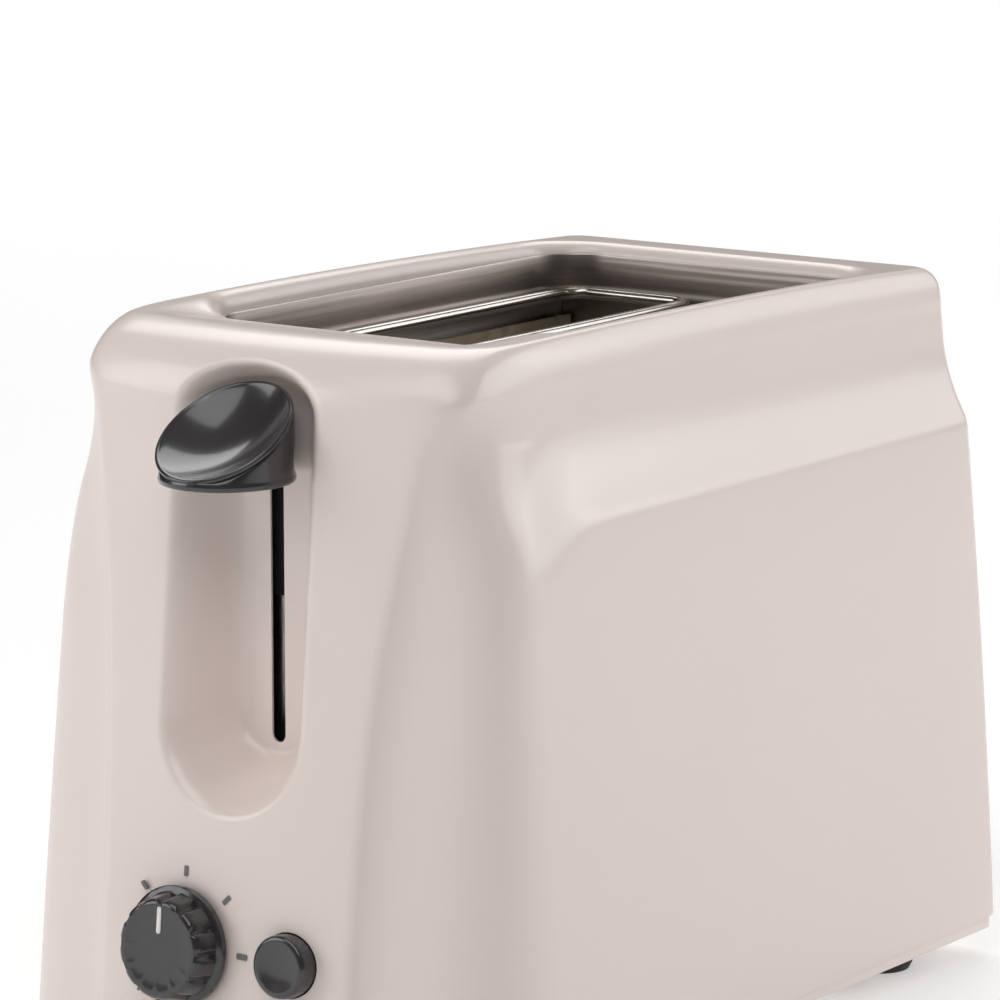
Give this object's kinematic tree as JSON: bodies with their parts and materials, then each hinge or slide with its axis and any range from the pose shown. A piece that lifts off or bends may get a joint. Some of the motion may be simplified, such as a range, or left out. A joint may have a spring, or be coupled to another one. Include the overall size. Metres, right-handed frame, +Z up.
{
  "type": "pop up toaster",
  "caption": "Two-slot pop-up toaster with a soft white moulded shell, a dished lever knob in a thumb scoop, bread lifters, centring guides and a slide-out crumb tray.",
  "frame": {"origin": "middle of the footprint's bounding box, on the table", "axes": "+X to the right as seen from the lever end, +Y from the lever end to the back, +Z up"},
  "size_m": [0.1518, 0.2438, 0.1835],
  "materials": {
    "white_plastic": "glossy warm white moulded plastic",
    "dark_plastic": "glossy charcoal moulded plastic",
    "rubber": "matt black rubber",
    "tinned_sheet": "rolled tinned sheet steel with lengthwise grain",
    "steel": "plain drawn or stamped steel",
    "mica": "matt mica board",
    "ribbon": "oxidised resistance ribbon",
    "copper": "enamelled copper and brass contacts",
    "laminate": "green board laminate",
    "black_plastic": "black moulded housings",
    "nylon": "natural nylon",
    "lead_sleeve": "silicone lead insulation"
  },
  "bodies": {
    "housing": {"outer_shell": "white_plastic", "base_pan": "white_plastic", "tray_runners": "white_plastic", "foot_front_left": "rubber", "foot_front_right": "rubber", "foot_rear_left": "rubber", "foot_rear_right": "rubber", "base_screws": "steel", "well_liner": "tinned_sheet", "front_end_plate": "tinned_sheet", "rear_end_plate": "tinned_sheet", "left_reflector": "tinned_sheet", "right_reflector": "tinned_sheet", "left_heater_board": "mica", "centre_heater_board": "mica", "right_heater_board": "mica", "left_heater_ribbon": "ribbon", "centre_heater_ribbon": "ribbon", "right_heater_ribbon": "ribbon", "plate_screws": "steel", "guide_rod": "steel", "rod_bracket": "tinned_sheet", "rod_bumper": "rubber", "magnet_frame": "steel", "magnet_coil": "copper", "circuit_board": "laminate", "board_screws": "steel", "board_components": "black_plastic", "browning_potentiometer": "black_plastic", "cancel_switch": "black_plastic", "power_switch": "black_plastic", "switch_contacts": "copper", "inlet_gland": "rubber", "terminal_block": "nylon", "power_leads": "lead_sleeve"},
    "lift_carriage": {"slider_block": "black_plastic", "carriage_plate": "steel", "lever_arm": "steel", "lever_knob": "dark_plastic", "left_bread_lifter": "steel", "right_bread_lifter": "steel", "lift_spring": "steel", "armature_plate": "steel"},
    "left_outer_guide_body": {"left_outer_guide": "steel"},
    "left_inner_guide_body": {"left_inner_guide": "steel"},
    "right_inner_guide_body": {"right_inner_guide": "steel"},
    "right_outer_guide_body": {"right_outer_guide": "steel"},
    "dial": {"potentiometer_shaft": "nylon", "browning_dial": "dark_plastic"},
    "cancel": {"cancel_button": "dark_plastic"},
    "crumb_drawer": {"crumb_tray": "tinned_sheet", "tray_handle": "white_plastic"}
  },
  "joints": [
    {"name": "lever_slide", "type": "slide", "parent": "housing", "child": "lift_carriage", "axis": [0, 0, -1], "range_m": [0, 0.062], "stiffness_N_per_m": 60, "springref_m": -0.06, "deforming": ["lift_spring"]},
    {"name": "left_outer_guide_slide", "type": "slide", "parent": "housing", "child": "left_outer_guide_body", "axis": [1, 0, 0], "range_m": [0, 0.006]},
    {"name": "left_inner_guide_slide", "type": "slide", "parent": "housing", "child": "left_inner_guide_body", "axis": [-1, 0, 0], "range_m": [0, 0.006]},
    {"name": "right_inner_guide_slide", "type": "slide", "parent": "housing", "child": "right_inner_guide_body", "axis": [1, 0, 0], "range_m": [0, 0.006]},
    {"name": "right_outer_guide_slide", "type": "slide", "parent": "housing", "child": "right_outer_guide_body", "axis": [-1, 0, 0], "range_m": [0, 0.006]},
    {"name": "browning_dial_turn", "type": "hinge", "parent": "housing", "child": "dial", "pos_m": [-0.01, -0.11145, 0.04], "axis": [0, -0.995, 0.0995], "range_deg": [0, 270]},
    {"name": "cancel_press", "type": "slide", "parent": "housing", "child": "cancel", "axis": [0, 0.995, -0.0995], "range_m": [0, 0.0025], "stiffness_N_per_m": 500, "springref_m": -0.002},
    {"name": "crumb_tray_slide", "type": "slide", "parent": "housing", "child": "crumb_drawer", "axis": [0, 1, 0], "range_m": [0, 0.17]}
  ],
  "couplings": [
    {"joint": "left_outer_guide_slide", "follows": "lever_slide", "ratio": 0.0967},
    {"joint": "left_inner_guide_slide", "follows": "lever_slide", "ratio": 0.0967},
    {"joint": "right_inner_guide_slide", "follows": "lever_slide", "ratio": 0.0967},
    {"joint": "right_outer_guide_slide", "follows": "lever_slide", "ratio": 0.0967}
  ]
}
